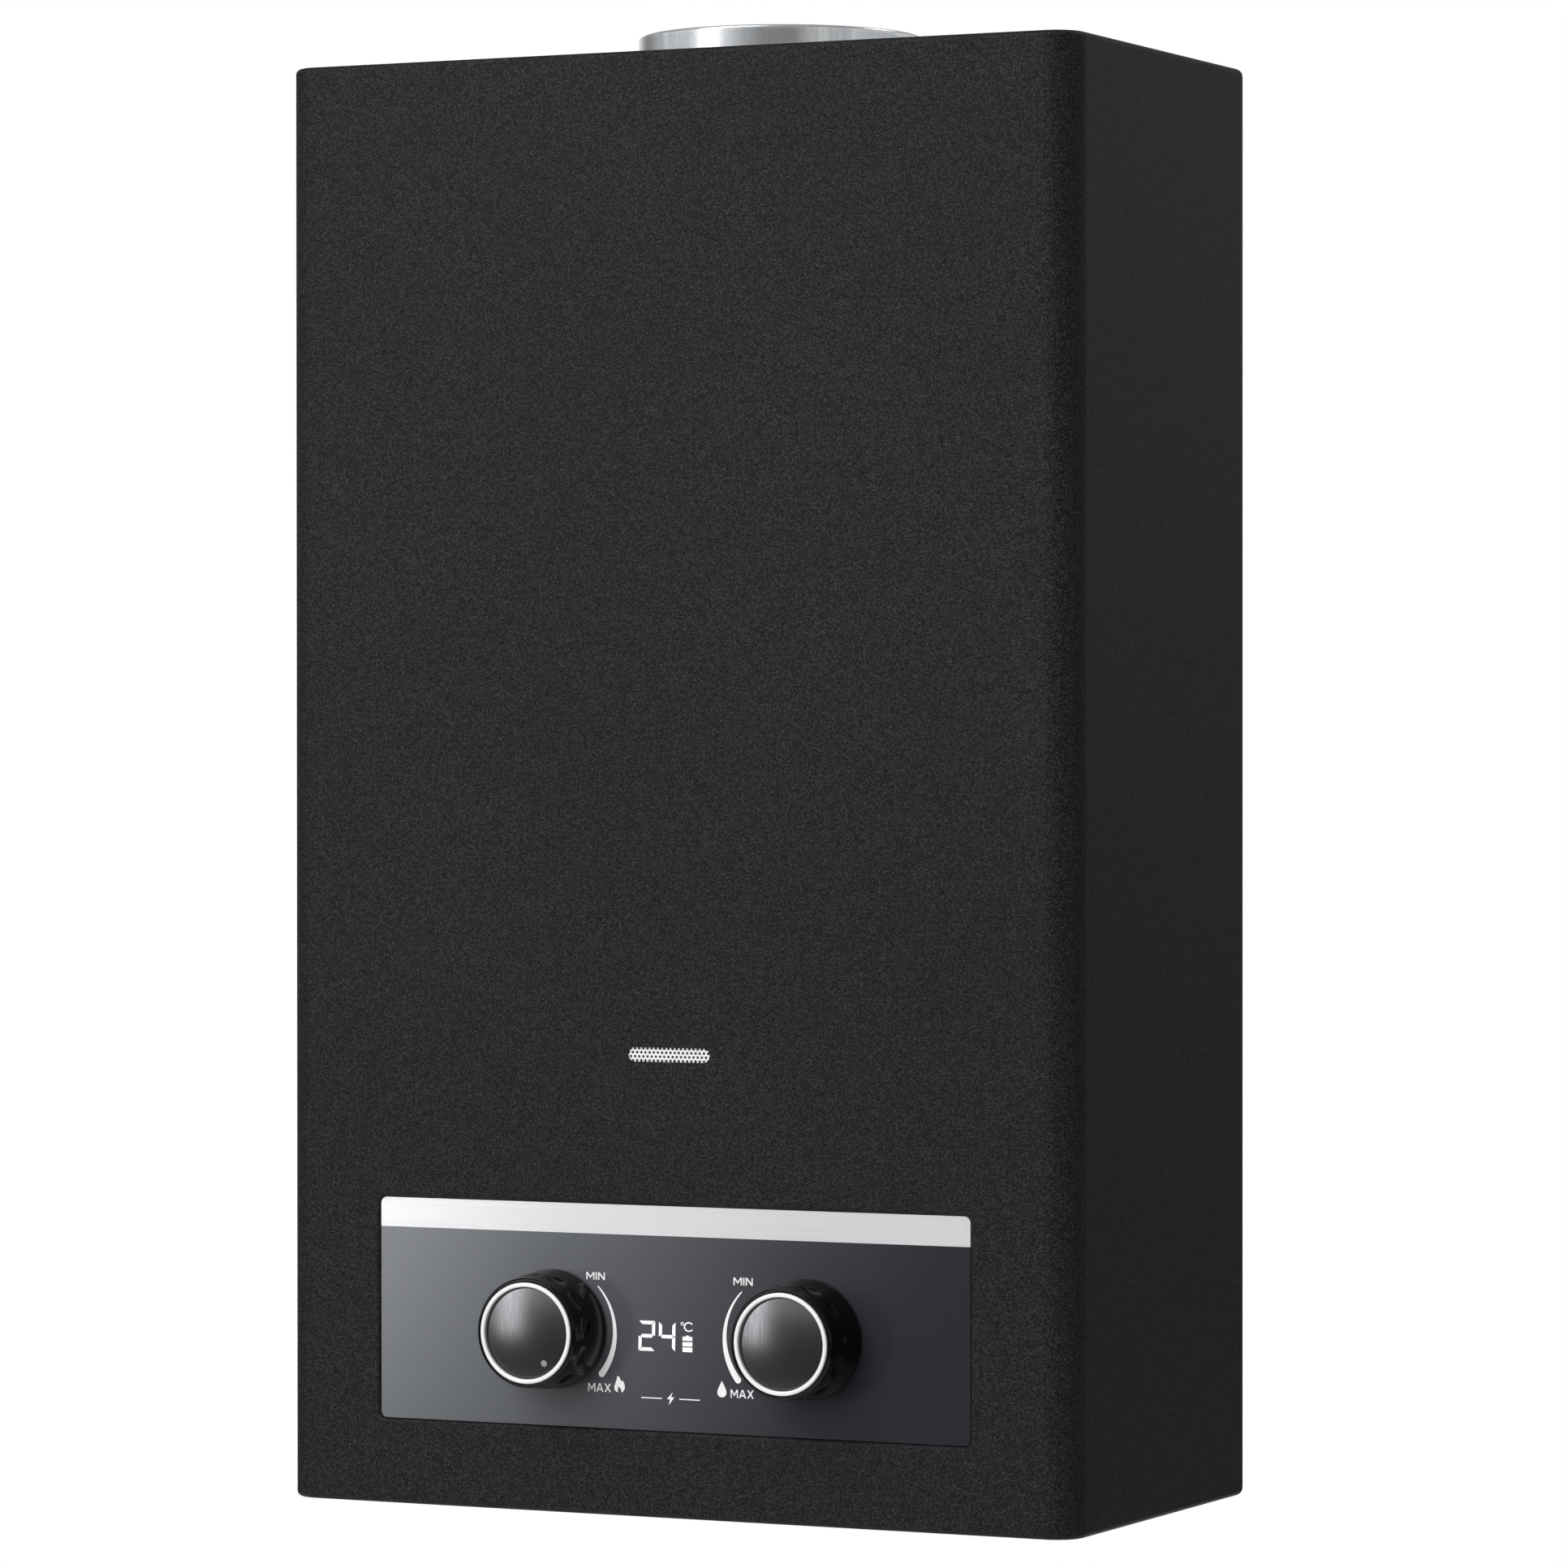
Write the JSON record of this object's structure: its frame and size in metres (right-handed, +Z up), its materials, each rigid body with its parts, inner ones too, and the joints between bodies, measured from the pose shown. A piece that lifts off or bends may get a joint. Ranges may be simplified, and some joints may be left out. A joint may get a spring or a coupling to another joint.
{
  "type": "gas water heater",
  "caption": "Wall-hung instantaneous gas water heater: folded sheet cover, control panel with gas and water knobs, round flue collar on top and pipe connections below.",
  "frame": {"origin": "centre of the four wall-fixing holes, on the wall plane, at half the cabinet's height", "axes": "+Z up, +Y into the wall (the front faces -Y), +X to the right seen from the front"},
  "size_m": [0.33, 0.1872, 0.5753],
  "materials": {
    "black_coat": "fine textured powder coat",
    "galvanised_sheet": "galvanised",
    "panel_gloss": "glossy",
    "silver_trim": "satin",
    "black_plastic": "matte",
    "display_board": "matte",
    "window_steel": "bright",
    "knob_black": "glossy",
    "bright_ring": "polished",
    "brushed_insert": "brushed",
    "plain_steel": "turned",
    "cast_aluminium": "cast",
    "black_rubber": "matte",
    "coil_plastic": "matte",
    "brass": "machined",
    "stainless": "pressed",
    "white_ceramic": "glazed",
    "copper": "drawn copper",
    "bright_steel": "bright",
    "cell_wrap": "printed wrap, bare",
    "controller_plastic": "matte",
    "lead_rubber": "silicone"
  },
  "bodies": {
    "cabinet": {"back_plate": "galvanised_sheet", "battery_box": "black_plastic", "battery_cells": "cell_wrap", "battery_contacts": "plain_steel", "battery_door_pin": "plain_steel", "burner_blades": "stainless", "burner_frame": "galvanised_sheet", "cold_inlet": "brass", "cold_pipe": "copper", "control_fascia": "panel_gloss", "display_module": "display_board", "draft_sensor": "coil_plastic", "drain_plug": "brass", "electrode_bracket": "stainless", "electrode_ceramics": "white_ceramic", "electrode_rods": "stainless", "exchanger_coil": "copper", "exchanger_fins": "copper", "exchanger_shell": "copper", "exchanger_tube": "copper", "fascia_band": "silver_trim", "fascia_carrier": "black_plastic", "flue_collar": "bright_steel", "flue_hood": "galvanised_sheet", "front_cover": "black_coat", "gas_inlet": "brass", "gas_manifold": "cast_aluminium", "gas_nozzles": "brass", "gas_pipe": "copper", "gas_return_spring": "plain_steel", "gas_valve_body": "cast_aluminium", "gas_valve_cap": "cast_aluminium", "hot_outlet": "brass", "hot_pipe": "copper", "ignition_controller": "controller_plastic", "machine_screws": "plain_steel", "microswitch": "coil_plastic", "outlet_sensor": "coil_plastic", "overheat_thermostat": "coil_plastic", "sight_grille": "window_steel", "solenoid_coil": "coil_plastic", "switch_bracket": "galvanised_sheet", "union_nuts": "brass", "water_diaphragm": "black_rubber", "water_valve_body": "brass", "water_valve_cover": "brass", "wire_leads": "lead_rubber"},
    "gas_knob": {"gas_knob": "knob_black", "gas_knob_ring": "bright_ring", "gas_knob_insert": "brushed_insert", "gas_spindle": "plain_steel"},
    "water_knob": {"water_knob": "knob_black", "water_knob_ring": "bright_ring", "water_knob_insert": "brushed_insert", "water_spindle": "plain_steel"},
    "push_rod": {"push_rod": "plain_steel", "gas_valve_disc": "black_rubber"},
    "switch_lever": {"switch_lever": "plain_steel"},
    "solenoid_plunger": {"solenoid_plunger": "plain_steel"},
    "battery_door": {"battery_door": "black_plastic"}
  },
  "joints": [
    {"name": "gas_knob_turn", "type": "hinge", "parent": "cabinet", "child": "gas_knob", "pos_m": [-0.049, -0.165, -0.2056], "axis": [0, -1, 0], "range_deg": [0, 105]},
    {"name": "water_knob_turn", "type": "hinge", "parent": "cabinet", "child": "water_knob", "pos_m": [0.057, -0.165, -0.2056], "axis": [0, -1, 0], "range_deg": [-105, 0]},
    {"name": "push_rod_slide", "type": "slide", "parent": "cabinet", "child": "push_rod", "axis": [-1, 0, 0], "range_m": [0, 0.004], "stiffness_N_per_m": 600, "deforming": ["gas_return_spring"]},
    {"name": "switch_lever_swing", "type": "hinge", "parent": "cabinet", "child": "switch_lever", "pos_m": [-0.0038, -0.118, -0.1786], "axis": [0, 1, 0], "range_deg": [0, 16.5]},
    {"name": "solenoid_plunger_slide", "type": "slide", "parent": "cabinet", "child": "solenoid_plunger", "axis": [0, 0, -1], "range_m": [0, 0.0025], "stiffness_N_per_m": 400, "springref_m": -0.003},
    {"name": "battery_door_swing", "type": "hinge", "parent": "cabinet", "child": "battery_door", "pos_m": [0.118, -0.0955, -0.27225], "axis": [1, 0, 0], "range_deg": [0, 100]}
  ],
  "couplings": [
    {"joint": "switch_lever_swing", "follows": "push_rod_slide", "rad_per_m": 71.4}
  ]
}
